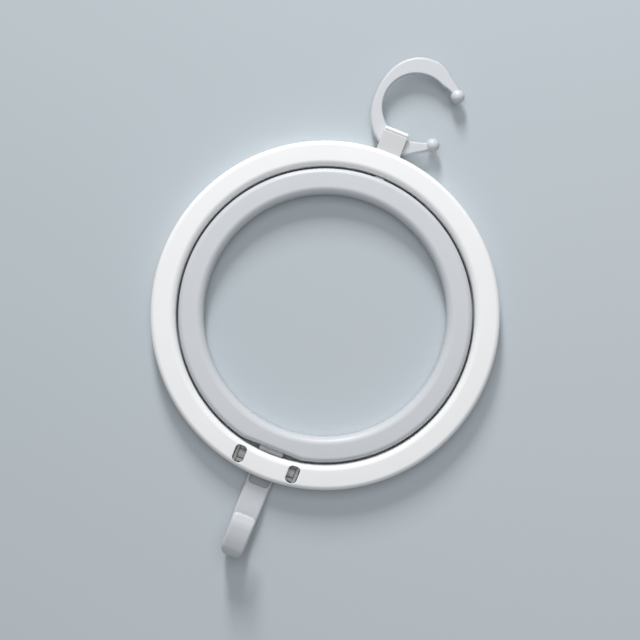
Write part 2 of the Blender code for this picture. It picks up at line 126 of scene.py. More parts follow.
# %% Wires and sheets
class Wire:
    """An output socket that can be used in sums."""

    def __init__(self, sheet, socket):
        self.sheet = sheet
        self.socket = socket

    def math(self, operation, first, second):
        return self.sheet.node("ShaderNodeMath", {"operation": operation}, {0: first, 1: second})

    def __add__(self, other):
        return self.math("ADD", self, other)

    def __radd__(self, other):
        return self.math("ADD", other, self)

    def __mul__(self, other):
        return self.math("MULTIPLY", self, other)

    def __rmul__(self, other):
        return self.math("MULTIPLY", other, self)

    def __gt__(self, other):
        return self.math("GREATER_THAN", self, other)

    def ramp(self, low, high):
        """Rise from 0 to 1 between two values, and stay there."""
        return self.sheet.node("ShaderNodeMapRange", {}, {0: self, 1: low, 2: high})


class Sheet:
    """The node sheet of a material or of the world."""

    def __init__(self, owner):
        owner.use_nodes = True
        self.tree = owner.node_tree
        self.tree.nodes.clear()

    def node(self, kind, settings=None, sockets=None, output=0):
        """Add a node, set it up, fill its sockets, and return one of its outputs."""
        made = self.tree.nodes.new(kind)
        for name, value in (settings or {}).items():
            setattr(made, name, value)
        for name, value in (sockets or {}).items():
            if isinstance(value, Wire):
                self.tree.links.new(value.socket, made.inputs[name])
            else:
                made.inputs[name].default_value = value
        return Wire(self, made.outputs[output]) if made.outputs else None

    def inside(self, place, low, high, soft):
        """1 at places well inside a box and 0 outside it, with a soft edge between."""
        share = 1
        for axis, first, last in zip("XYZ", low, high):
            number = self.node("ShaderNodeSeparateXYZ", {}, {0: place}, output=axis)
            share = number.ramp(first, first + soft) * number.ramp(last, last - soft) * share
        return share


print("sheets ready")

# %% [markdown]
# ## The board behind the hanger
#
# It is a matt, pale blue-grey sheet. Seen from the front it is solid and takes the soft shadows.
# Seen from behind it isn't there: a ray that meets its back goes through, and so does all that
# follows that ray, which the count of transparent meetings tells. The lamps below light it less
# evenly than the photograph's did, so its colour gets a little paler towards the bottom right.

# %% Board
board_depth, board_size = ring_depth + 0.0004, 8
board_colour, paler_colour = (0.51, 0.58, 0.613), (0.62, 0.666, 0.71)
slope = (0.0425 * picture_right - 0.0575 * picture_up) / 0.18
slope_reach = 0.2


def shade(colour, share=1):
    """A colour times a share, as a node wants it."""
    return tuple(share * part for part in colour) + (1,)


bpy.ops.mesh.primitive_plane_add(
    size=board_size, location=at(0, board_depth, 0), rotation=(right_angle, 0, 0)
)
board = bpy.context.object
board.name = "board"
board_paint = bpy.data.materials.new("board paint")
sheet = Sheet(board_paint)
behind = sheet.node("ShaderNodeNewGeometry", output="Backfacing")
passed = sheet.node("ShaderNodeLightPath", output="Transparent Depth")
unseen = (behind + passed) > 0.5
place = sheet.node("ShaderNodeTexCoord", output="Object")
along = {0: place, 1: (slope.x, slope.z, 0)}
walked = sheet.node("ShaderNodeVectorMath", {"operation": "DOT_PRODUCT"}, along, output="Value")
# Painted light: the colour runs from a darker top left to a paler bottom right.
paler = walked.ramp(-slope_reach, slope_reach)
tones = {0: paler, 6: shade(board_colour, 0.8), 7: shade(paler_colour)}
tone = sheet.node("ShaderNodeMix", {"data_type": "RGBA"}, tones, output=2)
matt = sheet.node("ShaderNodeBsdfDiffuse", {}, {"Color": tone})
clear = sheet.node("ShaderNodeBsdfTransparent")
mixed = sheet.node("ShaderNodeMixShader", {}, {0: unseen, 1: matt, 2: clear})
sheet.node("ShaderNodeOutputMaterial", {}, {"Surface": mixed})
board.data.materials.append(board_paint)
print("board at y", round(board.location.y, 4))

# %% [markdown]
# ## Light
#
# The shadows in the photograph fall towards its bottom, are soft, and get longer towards the
# bottom, where the strap hook's is longest. That is a key lamp a metre and a half away, at the
# photograph's top and a little to its left, 28.5 degrees up from the board and taller than it is
# wide. A sun would be simpler, but its shadows wouldn't get longer towards the bottom. Even in the
# shadows the board keeps more than half of its light: a broad lamp in front and a dim world fill in,
# so that a colour comes out about as it is written. A lamp on the other side lights the back, and
# the board keeps it from the front. What the camera sees of the world is the board's colour.

# %% Lamps and world
def lamp(name, place, width, tall, watts):
    """A lamp at a place from the rings' centre, which it faces, as wide along the picture."""
    data = bpy.data.lights.new(name, "AREA")
    data.shape = "RECTANGLE"
    data.size = width
    data.size_y = tall
    data.energy = watts
    made = bpy.data.objects.new(name, data)
    bpy.context.collection.objects.link(made)
    back = place.normalized()
    up = back.cross(picture_right).normalized()
    turned = Matrix((up.cross(back), up, back)).transposed().to_4x4()
    turned.translation = ring_centre + place
    made.matrix_world = turned


key_height, key_distance, key_shift = math.radians(28.5), 1.5, 0.125
key_way = math.cos(key_height) * picture_up + Vector((0, -math.sin(key_height), 0))
front_way, front_distance = 0.25 * picture_up + Vector((0, -0.97, 0)), 1.6
key_place = key_distance * key_way - key_shift * picture_right
lamp("key lamp", key_place, width=0.25, tall=0.5, watts=18.6)
lamp("front lamp", front_distance * front_way, width=1.2, tall=1.2, watts=9.2)
lamp("back lamp", Vector((1, 2.4, 2)), width=2.1, tall=2.1, watts=60)

world = bpy.data.worlds.new("studio")
bpy.context.scene.world = world
sheet = Sheet(world)
path = "ShaderNodeLightPath"
seen = sheet.node(path, output="Is Camera Ray") + sheet.node(path, output="Is Glossy Ray")
fill = sheet.node("ShaderNodeBackground", {}, {"Color": (0.96, 0.98, 1, 1), "Strength": 0.25})
shown = sheet.node("ShaderNodeBackground", {}, {"Color": shade(board_colour), "Strength": 0.98})
mixed = sheet.node("ShaderNodeMixShader", {}, {0: seen, 1: fill, 2: shown})
sheet.node("ShaderNodeOutputWorld", {}, {"Surface": mixed})
print("lamps:", [light.name for light in bpy.data.lights])

# %% [markdown]
# ## Satin moulded plastic
#
# Both plastics come out of a mould whose steel was spark-eroded: a fine even grain that dulls the
# gloss, under a skin that stays a little smoother where it touched polished steel. A flat colour
# would look like paint. Three noises on the object's own coordinates do better: a very fine one
# raises the grain, a middle one varies the gloss, and a broad one shifts the colour by a hundredth
# or two, as the flow of the plastic does. Painted shade darkens the colour of the thin tab on the
# white ring, up to the lip along its top, and of the hinge bay's inside, the lug and the strap's
# pocket, where little light reaches. Each such place is a box between two corners, with the share
# of the colour that is left there.

# %% Plastic
def satin_plastic(name, colour, roughness, grain, painted_shade=()):
    """Moulded plastic with a spark-eroded grain, and painted shade inside some boxes."""
    made = bpy.data.materials.new(name)
    sheet = Sheet(made)
    place = sheet.node("ShaderNodeTexCoord", output="Object")

    def noise(scale, detail):
        sockets = {"Vector": place, "Scale": scale, "Detail": detail, "Roughness": 0.55}
        return sheet.node("ShaderNodeTexNoise", {"noise_dimensions": "3D"}, sockets)

    flow = noise(28, 3)
    gloss = noise(160, 3)
    pits = noise(2600, 2)
    tones = {0: flow, 6: shade(colour, 0.972), 7: shade(colour, 1.022)}
    tone = sheet.node("ShaderNodeMix", {"data_type": "RGBA"}, tones, output=2)
    soft_edge, gloss_share, pits_share = 0.0008, 0.12, 0.06
    # Painted shade: inside each box the colour drops to the given share.
    for low, high, share in painted_shade:
        there = sheet.inside(place, low, high, soft_edge)
        tones = {0: there, 6: tone, 7: shade(colour, share)}
        tone = sheet.node("ShaderNodeMix", {"data_type": "RGBA"}, tones, output=2)
    rough = gloss * gloss_share + pits * pits_share + (roughness - (gloss_share + pits_share) / 2)
    relief = {"Strength": grain, "Distance": 0.00004, "Height": pits * 0.8 + gloss * 0.2}
    bump = sheet.node("ShaderNodeBump", {}, relief)
    finish = {"Base Color": tone, "Roughness": rough, "Normal": bump, "IOR": 1.47}
    skin = sheet.node("ShaderNodeBsdfPrincipled", {}, finish)
    sheet.node("ShaderNodeOutputMaterial", {}, {"Surface": skin})
    print("material", name)
    return made


# Painted shade: in each box the colour keeps only the share given at its end.
tab_shade_box = (at(-0.02, -0.01, 0.0993), at(0.02, 0.02, 0.1112), 0.73)
bay_shade_box = (at(-0.0205, 0.0021, -0.1), at(0.0205, 0.0085, -0.0865), 0.56)
lug_shade_box = (at(-0.0085, 0.0021, -0.096), at(0.0085, 0.0085, -0.0822), 0.74)
pocket_shade_box = (at(-0.007, 0.0073, -0.106), at(0.007, 0.0105, -0.095), 0.66)
white, blue_grey = (0.88, 0.88, 0.885), (0.60, 0.622, 0.65)
grain = 0.25
white_plastic = satin_plastic("white plastic", white, 0.42, grain, (tab_shade_box, bay_shade_box))
grey_plastic = satin_plastic("blue-grey plastic", blue_grey, 0.40, grain, (lug_shade_box, pocket_shade_box))

# %% [markdown]
# ## Working by hand, in code
#
# Every piece below is made as at the bench in edit mode: add a primitive at its size and place, pick
# faces or edges by where they are, and inset, extrude, bevel, spin or bisect them. These helpers
# hold the few moves that come back all the time. Two lengths count as the same when they are less
# than a hair apart, and a face or an edge counts as turned one way when nine tenths of its
# direction point that way.

# %% Helpers for edit mode
hair, mostly = 0.0001, 0.9
smooth_below = math.radians(32)


def alone(piece):
    """Select one object and nothing else."""
    bpy.ops.object.select_all(action="DESELECT")
    piece.select_set(True)
    bpy.context.view_layer.objects.active = piece


def begin(piece):
    """Go into edit mode on one object."""
    alone(piece)
    bpy.ops.object.mode_set(mode="EDIT")


def finish_edit():
    """Go back to object mode."""
    bpy.ops.object.mode_set(mode="OBJECT")


def pick(piece, kind, test):
    """In edit mode, select the VERT, EDGE or FACE items that pass a test, and nothing else."""
    bpy.ops.mesh.select_mode(type=kind)
    bpy.ops.mesh.select_all(action="DESELECT")
    mesh = bmesh.from_edit_mesh(piece.data)
    items = {"VERT": mesh.verts, "EDGE": mesh.edges, "FACE": mesh.faces}[kind]
    chosen = [item for item in items if test(item)]
    for item in chosen:
        item.select = True
    mesh.select_flush_mode()
    bmesh.update_edit_mesh(piece.data)
    return len(chosen)


def face_outwards(piece):
    """Merge doubles and turn every face outwards."""
    begin(piece)
    bpy.ops.mesh.select_all(action="SELECT")
    bpy.ops.mesh.remove_doubles(threshold=0.000001)
    bpy.ops.mesh.normals_make_consistent(inside=False)
    finish_edit()


def bevel(width, steps):
    """Round the picked edges with a circular profile."""
    bpy.ops.mesh.bevel(offset=width, offset_type="OFFSET", segments=steps, profile=0.5, affect="EDGES")


def settled(name):
    """Name the new object and put its place into its mesh."""
    made = bpy.context.object
    made.name = name
    alone(made)
    bpy.ops.object.transform_apply(location=True, rotation=True, scale=True)
    return made


def slab(name, low, high, rounding=0, steps=3):
    """A block between two corners, with its edges rounded."""
    middle = (low + high) / 2
    bpy.ops.object.select_all(action="DESELECT")
    bpy.ops.mesh.primitive_cube_add(size=1, location=middle)
    made = bpy.context.object
    begin(made)
    bpy.ops.mesh.select_all(action="SELECT")
    bpy.ops.transform.resize(value=high - low, center_override=middle)
    if rounding:
        bevel(rounding, steps)
    finish_edit()
    return settled(name)


def bar(name, start, end, radius, rounding=0, sides=64):
    """A round bar between two places on a line along X or Y, with its ends rounded."""
    along_x = abs(end.x - start.x) > abs(end.y - start.y)
    turn = (0, right_angle, 0) if along_x else (right_angle, 0, 0)
    middle, length = (start + end) / 2, (end - start).length
    bpy.ops.object.select_all(action="DESELECT")
    bpy.ops.mesh.primitive_cylinder_add(
        vertices=sides, radius=radius, depth=length, location=middle, rotation=turn
    )
    made = settled(name)
    if rounding:
        begin(made)
        pick(made, "EDGE", lambda edge: any(len(face.verts) > 4 for face in edge.link_faces))
        bevel(rounding, 4)
        finish_edit()
    return made


def runs_back(edge):
    """Whether an edge runs from front to back."""
    return abs((edge.verts[0].co - edge.verts[1].co).normalized().y) > mostly


def work(piece, tool, operation):
    """Unite a tool with a piece or cut it out of it, and throw the tool away."""
    alone(piece)
    step = piece.modifiers.new("work", "BOOLEAN")
    step.object = tool
    step.operation = operation
    step.solver = "EXACT"
    bpy.ops.object.modifier_apply(modifier=step.name)
    bpy.data.objects.remove(tool, do_unlink=True)


def add(piece, *tools):
    """Unite tools with a piece, one after another."""
    for tool in tools:
        work(piece, tool, "UNION")


def cut(piece, *tools):
    """Cut tools out of a piece, one after another."""
    for tool in tools:
        work(piece, tool, "DIFFERENCE")


def dress(piece, material, body, node):
    """Give a finished piece its smooth shading and material, attach it to its body and hide its plain
    node.
    """
    face_outwards(piece)
    piece.data.materials.clear()
    piece.data.materials.append(material)
    alone(piece)
    bpy.ops.object.shade_smooth_by_angle(angle=smooth_below)
    even = piece.modifiers.new("even", "WEIGHTED_NORMAL")
    even.keep_sharp = True
    even.weight = 80
    bpy.ops.object.modifier_apply(modifier=even.name)
    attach(piece, body)
    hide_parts(node)
    piece.data.calc_loop_triangles()
    print(piece.name, "has", len(piece.data.loop_triangles), "triangles and rides on", body)


print("helpers ready")

# %% [markdown]
# ## The channel that both rings are
#
# Each ring is a moulded channel: a front plate with a wall at each edge, open at the back to save
# plastic. It could be spun from a drawn profile. Here it starts as a disc that is inset and bridged
# into a solid ring, then its back is inset by the wall and sunk, which is how one would rough it out
# of a block, and the edges are rounded last.

# %% Channel
ring_steps, ribs_around = 192, 18
real_corner = math.radians(30)


def reach(item):
    """How far an edge or a face lies from the rings' axis."""
    points = [corner.co for corner in item.verts]
    middle = sum(points, Vector()) / len(points)
    return math.hypot(middle.x - ring_centre.x, middle.z - ring_centre.z)


def depth_of(item):
    """How far behind the front face an edge or a face lies."""
    return sum(corner.co.y for corner in item.verts) / len(item.verts) - ring_centre.y


def sharp(edge):
    """Whether an edge is a real corner."""
    return len(edge.link_faces) == 2 and edge.calc_face_angle() > real_corner


def solid_ring(name, outer, inner):
    """A plain ring with square edges."""
    bpy.ops.object.select_all(action="DESELECT")
    bpy.ops.mesh.primitive_cylinder_add(
        vertices=ring_steps,
        radius=outer,
        depth=ring_depth,
        location=at(0, ring_depth / 2, 0),
        rotation=(right_angle, 0, 0),
    )
    ring = settled(name)
    begin(ring)
    pick(ring, "FACE", lambda face: abs(face.normal.y) > mostly)
    bpy.ops.mesh.inset(thickness=outer - inner, depth=0)
    bpy.ops.mesh.bridge_edge_loops()
    finish_edit()
    face_outwards(ring)
    return ring


def hollow(ring, band_middle, outer_round, inner_round, inside_round, steps):
    """Sink the back of a solid ring and round its edges."""
    root_round, back_round = 0.0006, 0.0002
    begin(ring)
    pick(ring, "FACE", lambda face: face.normal.y > mostly)
    bpy.ops.mesh.inset(thickness=rim_wall, depth=0)
    bpy.ops.mesh.inset(thickness=wall - rim_wall, depth=-(ring_depth - plate))
    finish_edit()
    face_outwards(ring)
    begin(ring)
    for depth, outside, width, count in (
        (0, True, outer_round, 6),
        (0, False, inner_round, steps),
        (plate, True, root_round, 3),
        (plate, False, inside_round, steps),
        (ring_depth, True, back_round, 2),
        (ring_depth, False, back_round, 2),
    ):
        found = pick(
            ring,
            "EDGE",
            lambda edge: sharp(edge)
            and abs(depth_of(edge) - depth) < hair
            and (reach(edge) > band_middle) == outside,
        )
        bevel(width, count)
        print("  rounded", found, "edges at depth", round(1000 * depth, 1), "mm")
    finish_edit()


def rib_star(inner, outer):
    """Ribs across a channel: one is modelled, and its copies are turned about the axis."""
    low = at(-rib_thick / 2, plate - overlap, -outer + wall - overlap)
    high = at(rib_thick / 2, rib_back, -inner - wall + overlap)
    first = slab("rib", low, high)
    pitch = math.tau / ribs_around
    ribs = []
    for count in range(1, ribs_around):
        alone(first)
        bpy.ops.object.duplicate()
        copy = bpy.context.object
        bpy.ops.transform.rotate(value=pitch * count, orient_axis="Y", center_override=ring_centre)
        bpy.ops.object.transform_apply(location=True, rotation=True, scale=True)
        ribs.append(copy)
    bpy.data.objects.remove(first, do_unlink=True)
    alone(ribs[0])
    for rib in ribs:
        rib.select_set(True)
    bpy.ops.object.join()
    return bpy.context.object


# %% [markdown]
# ## White ring
#
# The outer ring's front has a generous 3.7 mm rounding on its inside, where it meets the grey ring,
# and a tighter one of 2.8 mm outside. Seventeen ribs stiffen the channel. The eighteenth, straight
# down, gives way to the hinge bay.

# %% White ring, the channel
white_ring = solid_ring("white_ring", ring_radius, mouth_radius)
hollow(
    white_ring,
    band_middle=(ring_radius + mouth_radius) / 2,
    outer_round=0.0028,
    inner_round=0.0037,
    inside_round=0.0007,
    steps=12,
)
add(white_ring, rib_star(mouth_radius, ring_radius))
print("channel with ribs:", len(white_ring.data.polygons), "faces")

# %% [markdown]
# ## Hinge bay
#
# The pin snaps into the bay from behind. Each of its ends lies between two shelves and against an
# end stop, and webs tie them to the channel's walls. In front of each pin end a window with a soft,
# rolled lip goes through the plate: it lets the mould's core make the undercut that holds the pin.
# The walls could be extruded from the plate, but blocks are easier to place, and a Boolean ties
# them in. A bevel round a cut window can fail at its small corners, so the windows are cut with a
# block whose front flares like a trumpet, which leaves the rolled lip.

# %% Hinge bay
bay_half = 0.0078
web_width, web_depth, stop_front = 0.0016, 0.0105, 0.0085
window_place, window_width, window_height, window_corner = 0.0163, 0.0066, 0.0103, 0.0026
window_lip, window_depth, lip_steps = 0.0005, 0.0065, 6


def bay_wall(side, start, front):
    """A web across the channel, between the middles of its two walls."""
    across = side * (start + web_width / 2)
    foot = -math.sqrt((ring_radius - wall / 2) ** 2 - across ** 2)
    head = -math.sqrt((mouth_radius + wall / 2) ** 2 - across ** 2)
    low = at(across - web_width / 2, front, foot)
    high = at(across + web_width / 2, web_depth, head)
    return slab("web", low, high)


def shelf(side, direction):
    """One of the two walls that a pin's end lies between."""
    start, end = sorted((side * (bay_half + overlap), side * pin_length / 2))
    near, far = sorted((direction * pin_radius, direction * (window_height / 2 - gap)))
    low, high = at(start, plate - overlap, near - pin_drop), at(end, rib_back, far - pin_drop)
    return slab("shelf", low, high)


def window_cutter(side):
    """A block with round corners that flares at the front."""
    lip = window_lip
    middle = at(side * window_place, 0, -pin_drop)
    half = Vector((window_width / 2, 0, window_height / 2))
    low, high = middle - half + Vector((0, lip, 0)), middle + half + Vector((0, window_depth, 0))
    cutter = slab("window", low, high)
    begin(cutter)
    pick(cutter, "EDGE", runs_back)
    bevel(window_corner, 8)
    pick(cutter, "FACE", lambda face: face.normal.y < -mostly)
    width, height, depth = window_width, window_height, lip
    for step in range(1, lip_steps + 1):
        angle = right_angle * step / lip_steps
        grown = lip * (1 - math.cos(angle))
        moved = lip * (1 - math.sin(angle))
        bpy.ops.mesh.extrude_region_move(TRANSFORM_OT_translate={"value": (0, moved - depth, 0)})
        wider, taller = window_width + 2 * grown, window_height + 2 * grown
        bpy.ops.transform.resize(value=(wider / width, 1, taller / height), center_override=middle)
        width, height, depth = wider, taller, moved
    bpy.ops.mesh.extrude_region_move(TRANSFORM_OT_translate={"value": (0, -overrun, 0)})
    finish_edit()
    face_outwards(cutter)
    return cutter


for side in (-1, 1):
    add(
        white_ring,
        bay_wall(side, bay_half, plate - overlap),
        bay_wall(side, window_place - window_width / 2 - gap - web_width, plate - overlap),
        bay_wall(side, pin_length / 2 + gap, stop_front),
        shelf(side, 1),
        shelf(side, -1),
    )
    cut(white_ring, window_cutter(side))

pin_end = pin_length / 2 + gap / 2
snap = 0.0003
throat = pin_radius - snap
behind = ring_depth + overrun
strap_thick, strap_behind_pin = 0.0036, 0.0012
strap_depth = pin_depth + strap_behind_pin
strap_front = strap_depth - strap_thick / 2
cut(
    white_ring,
    bar("seat", at(-pin_end, pin_depth, -pin_drop), at(pin_end, pin_depth, -pin_drop), pin_bore),
    slab("throat", at(-pin_end, pin_depth, -pin_drop - throat), at(pin_end, behind, -pin_drop + throat)),
    slab(
        "lug notch",
        at(-bay_half, pin_depth - knuckle_radius - gap, -pin_drop),
        at(bay_half, behind, -mouth_radius + overrun),
    ),
    slab(
        "strap notch",
        at(-bay_half, strap_front - gap, -ring_radius - overrun),
        at(bay_half, behind, -pin_drop),
    ),
)
print("hinge bay done:", len(white_ring.data.polygons), "faces")

# %% [markdown]
# ## Clip for the C-hook
#
# A tab stands on top of the ring. It slopes back a little from the round bead along its lip, which
# is one more reason why the photograph shows it darker than the ring. A post goes back from it past
# the C-hook, inside its curve, and a catch on the post's end keeps the C-hook on. The bead could be
# a bevel, but a bar that is united with the tab stands proud of it, as on the real one.

# %% Clip
tab_left, tab_right = -0.008, 0.0064
tab_front, tab_thick, tab_lean = 0.0004, 0.0028, 0.0012
bead_radius, post_rise, post_radius = 0.0013, 0.1125, 0.0012
catch_half, catch_thick, catch_drop, c_thick = 0.0032, 0.0018, 0.0046, 0.004
tab_rounding, end_rounding, bead_inset = 0.0006, 0.0005, 0.00015
catch_top = post_rise + post_radius
bead_up = catch_top - bead_radius
tab_back = tab_front + tab_thick
catch_front = tab_back + c_thick + 2 * gap
tab_low = at(tab_left, tab_front, ring_radius - wall + overlap)
tab = slab("tab", tab_low, at(tab_right, tab_back, bead_up))
begin(tab)
tab_top = at(0, 0, bead_up).z
pick(tab, "VERT", lambda corner: corner.co.y < at(0, 0.002, 0).y and corner.co.z < tab_top - 0.001)
bpy.ops.transform.translate(value=(0, tab_lean, 0))
pick(
    tab,
    "EDGE",
    lambda edge: abs(edge.verts[0].co.z - edge.verts[1].co.z) > 0.005 and depth_of(edge) < 0.002,
)
bevel(tab_rounding, 4)
finish_edit()
bead_left = at(tab_left + bead_inset, bead_radius, bead_up)
bead_right = at(tab_right - bead_inset, bead_radius, bead_up)
post_start = at(0, tab_back - 2 * overlap, post_rise)
post_end = at(0, catch_front + overlap, post_rise)
catch_low = at(-catch_half, catch_front, catch_top - post_radius - catch_drop)
catch_high = at(catch_half, catch_front + catch_thick, catch_top)
add(
    tab,
    bar("bead", bead_left, bead_right, bead_radius, end_rounding, sides=32),
    bar("post", post_start, post_end, post_radius, sides=32),
    slab("catch", catch_low, catch_high, end_rounding),
)
add(white_ring, tab)
dress(white_ring, white_plastic, "main_ring", "outer_ring")

# %% [markdown]
# ## Hinge pin
#
# A plain round pin with softly rounded ends. It is a bar, and only its end edges need work.

# %% Hinge pin
half = pin_length / 2
pin_start, pin_stop = at(-half, pin_depth, -pin_drop), at(half, pin_depth, -pin_drop)
pin = bar("pin", pin_start, pin_stop, pin_radius, end_rounding)
dress(pin, white_plastic, "main_ring", "hinge_pin")

# %% [markdown]
# ## Blue-grey ring
#
# The inner ring is the same kind of channel, with a large soft rounding on its inside where a hand or
# a towel goes through. Its bottom is cut straight, which could be done with a Boolean. Here a bisect
# takes the rest away before the back is sunk, so that the channel's wall follows the flat too.

# %% Blue-grey ring
lug_half, lug_depth, lug_thick = 0.0072, pin_depth - knuckle_radius, 0.0036
knuckle_inner = 0.0034
grey_ring = solid_ring("grey_ring", inner_radius, hole_radius)
begin(grey_ring)
bpy.ops.mesh.select_all(action="SELECT")
flat = at(0, 0, -flat_drop)
bpy.ops.mesh.bisect(plane_co=flat, plane_no=(0, 0, -1), use_fill=True, clear_outer=True)
finish_edit()
face_outwards(grey_ring)
hollow(
    grey_ring,
    band_middle=(inner_radius + hole_radius) / 2,
    outer_round=0.0029,
    inner_round=0.0042,
    inside_round=0.0022,
    steps=12,
)
add(grey_ring, rib_star(hole_radius, inner_radius))
print("channel with ribs:", len(grey_ring.data.polygons), "faces")

# %% [markdown]
# ## Lug of the blue-grey ring
#
# A lug with a gently domed front reaches from the flat to the pin and ends in two knuckles, with
# room for the strap hook's barrel between them. The dome comes from cutting the lug's front into
# rows and sinking each row a little more, the farther it is from the crest. The lug is a hair
# narrower than its knuckles, so that no two faces lie on each other when they are united.

# %% Lug and knuckles
shy, dome_sink, dome_half = 0.00005, 0.0009, 0.0018
lug = slab(
    "lug",
    at(-lug_half + shy, lug_depth + shy, -pin_drop - gap),
    at(lug_half - shy, lug_depth + lug_thick, -flat_drop + overlap),
)
begin(lug)
crest, row_pitch = -0.0838, 0.0004
rows = [crest + row_pitch * step for step in range(-8, 6)]
for row in rows:
    bpy.ops.mesh.select_all(action="SELECT")
    bpy.ops.mesh.bisect(plane_co=at(0, 0, row), plane_no=(0, 0, 1))
front = at(0, lug_depth, 0).y
for row in rows + [-flat_drop + overlap]:
    height_here = at(0, 0, row).z
    pick(
        lug,
        "VERT",
        lambda corner: abs(corner.co.z - height_here) < hair / 10 and corner.co.y < front + hair,
    )
    sunk = dome_sink * min(abs(row - crest) / dome_half, 1) ** 2
    bpy.ops.transform.translate(value=(0, sunk, 0))
finish_edit()
pin_line = (at(-lug_half, pin_depth, -pin_drop), at(lug_half, pin_depth, -pin_drop))
reach_past = Vector((overrun, 0, 0))
add(lug, bar("knuckles", *pin_line, knuckle_radius))
cut(
    lug,
    bar(
        "barrel room",
        at(-knuckle_inner, pin_depth, -pin_drop),
        at(knuckle_inner, pin_depth, -pin_drop),
        knuckle_radius + gap,
    ),
    bar("bore", pin_line[0] - reach_past, pin_line[1] + reach_past, pin_bore),
)
print("lug:", len(lug.data.polygons), "faces")
add(grey_ring, lug)
for side in (-1, 1):
    middle = side * (knuckle_inner + lug_half) / 2
    add(
        grey_ring,
        slab(
            "lug rib",
            at(middle - rib_thick / 2, plate - overlap, -flat_drop + overlap),
            at(middle + rib_thick / 2, rib_back, -hole_radius - wall + overlap),
        ),
    )
nub_half, nub_front, nub_back, nub_rise = 0.003, 0.004, 0.008, 0.001
nub_low = at(-nub_half, nub_front, inner_radius - wall / 2)
nub_high = at(nub_half, nub_back, inner_radius + nub_rise)
add(grey_ring, slab("nub", nub_low, nub_high, end_rounding))
dress(grey_ring, grey_plastic, "folding_ring", "inner_ring")

# %% [markdown]
# ## Strap hook
#
# The strap is one flat strip: straight down, round a curl and up to a tip that leans back a little,
# which is why the photograph shows its top brighter. The tip gets darker downwards from high up, so
# the curl isn't a half circle. It is an arch of three arcs that meet smoothly: a slack one at each
# side and a tight one at the bottom, where the strip also has round corners.

# %% Strap's sizes
strap_width, waist_width, tip_width = 0.0148, 0.0133, 0.0138
curl_radius, hook_drop, taper_rise, tip_rise = 0.01, 0.1472, 0.026, 0.0262
strap_top = -pin_drop - knuckle_radius - gap
slack_radius, slack_steps, turn_steps = 0.03, 4, 32
slack_angle = math.pi * slack_steps / turn_steps
slack_more = (slack_radius - curl_radius) / math.cos(slack_angle)
bottom_radius = slack_radius - slack_more
bottom_up = -hook_drop + strap_thick / 2 + bottom_radius
curl_up = bottom_up + slack_more * math.sin(slack_angle)
taper_up = -hook_drop + strap_thick / 2 + taper_rise
corner_inset, corner_rise, tip_lean = 0.0026, 0.006, 0.0014


def swell(share):
    """A smooth rise from 0 to 1 as a share goes from 0 to 1."""
    share = min(max(share, 0), 1)
    return share * share * (3 - 2 * share)


def strap_width_at(full, up):
    """The strap's width at a height: full at the top, and with round corners at the curl's bottom."""
    rise = up + hook_drop - strap_thick / 2
    width = waist_width + (full - waist_width) * swell((rise - corner_rise) / (taper_rise - corner_rise))
    away = min(max(1 - rise / corner_rise, 0), 1)
    return width - 2 * corner_inset * (1 - math.sqrt(1 - away * away))


print("the curl's bottom arc has a radius of", round(1000 * bottom_radius, 2), "mm")

# %% [markdown]
# A curve with a bevel could make the strip, but its width would be hard to steer. So its end face is
# extruded and spun a step at a time, and each new row is resized to the width that the strip has
# there.

# %% Strap's strip
def widen(old, new):
    """Resize the picked row across the strap."""
    bpy.ops.transform.resize(value=(new / old, 1, 1), center_override=ring_centre)
    return new


start = at(0, strap_depth, strap_top)
bpy.ops.object.select_all(action="DESELECT")
bpy.ops.mesh.primitive_plane_add(size=1, location=start)
strap = bpy.context.object
begin(strap)
bpy.ops.mesh.select_all(action="SELECT")
bpy.ops.transform.resize(value=(strap_width, strap_thick, 1), center_override=start)
width, up = strap_width, strap_top
for row in [taper_up + (curl_up - taper_up) * step / 10 for step in range(11)]:
    bpy.ops.mesh.extrude_region_move(TRANSFORM_OT_translate={"value": (0, 0, row - up)})
    width, up = widen(width, strap_width_at(strap_width, row)), row
for step in range(1, turn_steps + 1):
    radius, arc_depth, arc_up = slack_radius, strap_depth - slack_radius, curl_up
    if step > turn_steps - slack_steps:
        arc_depth = strap_depth - 2 * curl_radius + slack_radius
    elif step > slack_steps:
        radius, arc_depth, arc_up = bottom_radius, strap_depth - curl_radius, bottom_up
    angle = math.pi / turn_steps
    bpy.ops.mesh.spin(steps=1, angle=angle, center=at(0, arc_depth, arc_up), axis=(1, 0, 0))
    up = arc_up - radius * math.sin(angle * step)
    full = strap_width if step < turn_steps / 2 else tip_width
    width = widen(width, strap_width_at(full, up))
tip_up = -hook_drop + tip_rise
tip_corner_room, leaning = 0.0041, 0
rows_up = [curl_up + (tip_up - tip_corner_room - curl_up) * step / 6 for step in range(1, 7)]
for row in rows_up + [tip_up]:
    lean = tip_lean * ((row - curl_up) / (tip_up - curl_up)) ** 2
    bpy.ops.mesh.extrude_region_move(TRANSFORM_OT_translate={"value": (0, lean - leaning, row - up)})
    width, up, leaning = widen(width, strap_width_at(tip_width, row)), row, lean
finish_edit()
strap = settled("strap_hook")
face_outwards(strap)
print("strip with", len(strap.data.polygons), "faces")

# %% [markdown]
# The two corners of the tip are rounded first, and then all the long edges. One bevel for both
# would round them alike. A shallow pocket in the strap's front keeps it clear of the white ring's
# edge when it swings. It is cut with a block whose corners are round.

